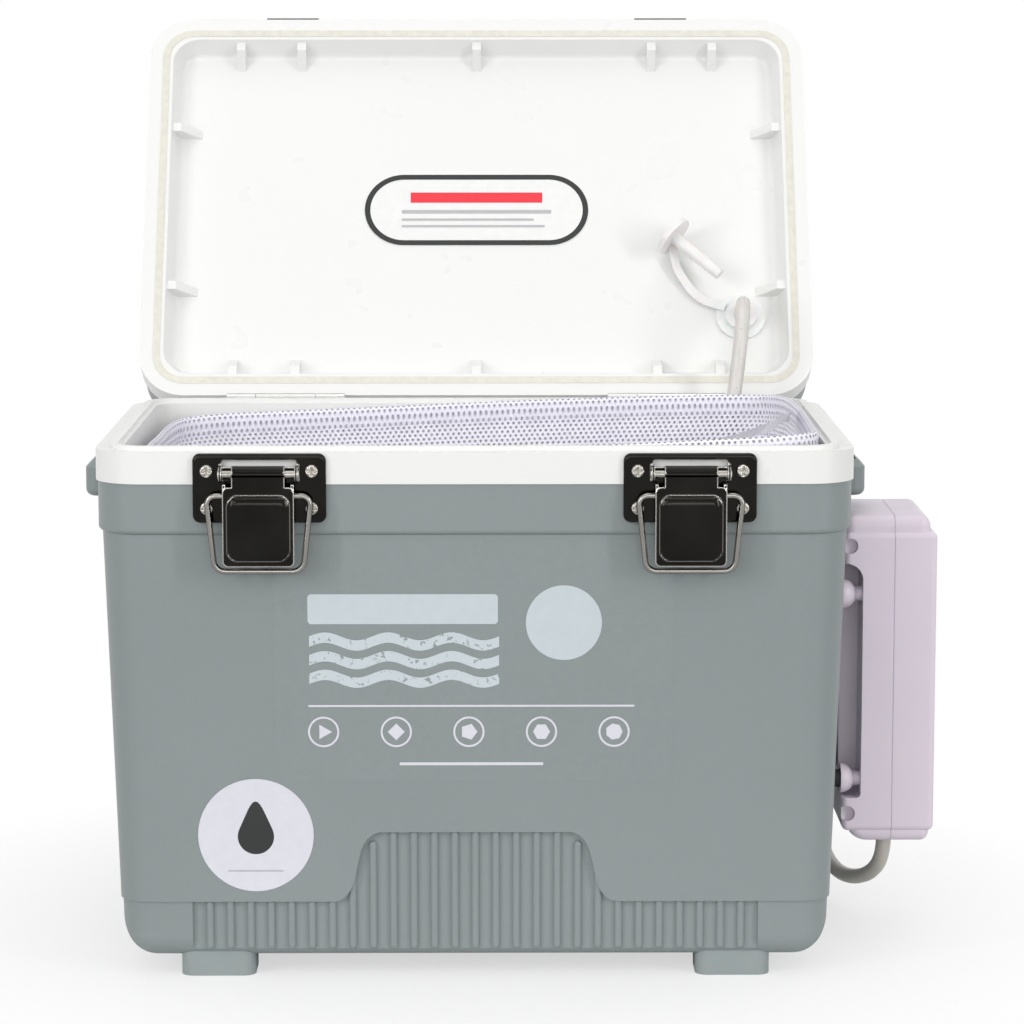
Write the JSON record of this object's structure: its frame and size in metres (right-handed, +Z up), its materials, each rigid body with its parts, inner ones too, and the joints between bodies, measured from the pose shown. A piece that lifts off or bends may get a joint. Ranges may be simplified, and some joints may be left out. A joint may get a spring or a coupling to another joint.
{
  "type": "insulated live bait cooler",
  "caption": "Small hard-sided foam-insulated bait cooler with hinged gasketed lid, draw latches, lift-out mesh net, battery aerator pump and air hose.",
  "frame": {"origin": "middle of the four-foot stance, on the floor", "axes": "+Z up, front with the latches towards -Y, hinges towards +Y, pump on +X"},
  "size_m": [0.3511, 0.3296, 0.3799],
  "materials": {
    "grey_shell": "satin, finely grained",
    "white_liner": "satin gloss",
    "foam": "matt cellular",
    "foot_plastic": "translucent satin",
    "screw_steel": "zinc bright",
    "hinge_steel": "satin",
    "latch_steel": "pressed satin",
    "wire_steel": "drawn bright",
    "gasket_foam": "closed cell, matt",
    "label": "printed film",
    "white_silicone": "satin",
    "clear_hose": "satin",
    "outer_hose": "satin",
    "stone": "sintered",
    "net_mesh": "knitted mesh",
    "black_rubber": "matt",
    "pump_case": "satin gloss",
    "dark_plastic": "matt",
    "cell_metal": "bright"
  },
  "bodies": {
    "cooler_body": {"air_stone": "stone", "battery_lower": "cell_metal", "battery_upper": "cell_metal", "body_insulation": "foam", "body_liner": "white_liner", "body_shell": "grey_shell", "connecting_rod": "dark_plastic", "contact_lower": "cell_metal", "contact_upper": "cell_metal", "diaphragm": "black_rubber", "diaphragm_chamber": "dark_plastic", "foot_front_left": "foot_plastic", "foot_front_right": "foot_plastic", "foot_rear_left": "foot_plastic", "foot_rear_right": "foot_plastic", "hinge_body_leaf_left": "hinge_steel", "hinge_body_leaf_right": "hinge_steel", "hinge_body_screws": "screw_steel", "hinge_pin_left": "screw_steel", "hinge_pin_right": "screw_steel", "hose_inner": "clear_hose", "hose_outer": "outer_hose", "inner_air_tube": "clear_hose", "latch_base_left": "latch_steel", "latch_base_right": "latch_steel", "latch_pivot_pin_left": "screw_steel", "latch_pivot_pin_right": "screw_steel", "latch_screws": "screw_steel", "motor": "cell_metal", "outlet_barb": "pump_case", "pump_back_shell": "pump_case", "pump_front_shell": "pump_case", "pump_screws": "screw_steel", "pump_studs": "black_rubber", "strap_lug_left": "grey_shell", "strap_lug_right": "grey_shell"},
    "lid": {"grommet_stopper": "white_silicone", "hinge_lid_leaf_left": "hinge_steel", "hinge_lid_leaf_right": "hinge_steel", "hinge_lid_screws": "screw_steel", "label_plate": "label", "lid_gasket": "gasket_foam", "lid_insulation": "foam", "lid_liner": "white_liner", "lid_shell": "grey_shell", "strike_left": "latch_steel", "strike_right": "latch_steel", "strike_screws": "screw_steel"},
    "latch_lever_left": {"latch_lever_left": "latch_steel"},
    "latch_lever_right": {"latch_lever_right": "latch_steel"},
    "latch_bail_left": {"latch_bail_left": "wire_steel"},
    "latch_bail_right": {"latch_bail_right": "wire_steel"},
    "net": {"bait_net": "net_mesh", "net_hem": "net_mesh"},
    "battery_door": {"battery_door": "pump_case"},
    "power_switch": {"power_switch": "dark_plastic"},
    "motor_eccentric": {"motor_eccentric": "cell_metal"}
  },
  "joints": [
    {"name": "lid_hinge", "type": "hinge", "parent": "cooler_body", "child": "lid", "pos_m": [0, 0.0975, 0.2135], "axis": [1, 0, 0], "range_deg": [0, 120], "deforming": ["hose_outer", "hose_inner"]},
    {"name": "net_lift", "type": "slide", "parent": "cooler_body", "child": "net", "axis": [0, 0, -1], "range_m": [-0.18, 0]},
    {"name": "battery_door_hinge", "type": "hinge", "parent": "cooler_body", "child": "battery_door", "pos_m": [0.1886, 0.014, 0.0592], "axis": [0, 1, 0], "range_deg": [0, 100]},
    {"name": "power_switch_slide", "type": "slide", "parent": "cooler_body", "child": "power_switch", "axis": [0, 0, 1], "range_m": [0, 0.005]},
    {"name": "motor_shaft", "type": "hinge", "parent": "cooler_body", "child": "motor_eccentric", "pos_m": [0.1805, -0.014, 0.13], "axis": [1, 0, 0], "continuous": true},
    {"name": "latch_lever_left_pivot", "type": "hinge", "parent": "cooler_body", "child": "latch_lever_left", "pos_m": [-0.0842, -0.102, 0.2053], "axis": [1, 0, 0], "range_deg": [-165, 0]},
    {"name": "latch_bail_left_pivot", "type": "hinge", "parent": "latch_lever_left", "child": "latch_bail_left", "pos_m": [-0.0842, -0.1013, 0.1968], "axis": [-1, 0, 0], "range_deg": [0, 174.8]},
    {"name": "latch_lever_right_pivot", "type": "hinge", "parent": "cooler_body", "child": "latch_lever_right", "pos_m": [0.0842, -0.102, 0.2053], "axis": [1, 0, 0], "range_deg": [-165, 0]},
    {"name": "latch_bail_right_pivot", "type": "hinge", "parent": "latch_lever_right", "child": "latch_bail_right", "pos_m": [0.0842, -0.1013, 0.1968], "axis": [-1, 0, 0], "range_deg": [0, 174.8]}
  ]
}
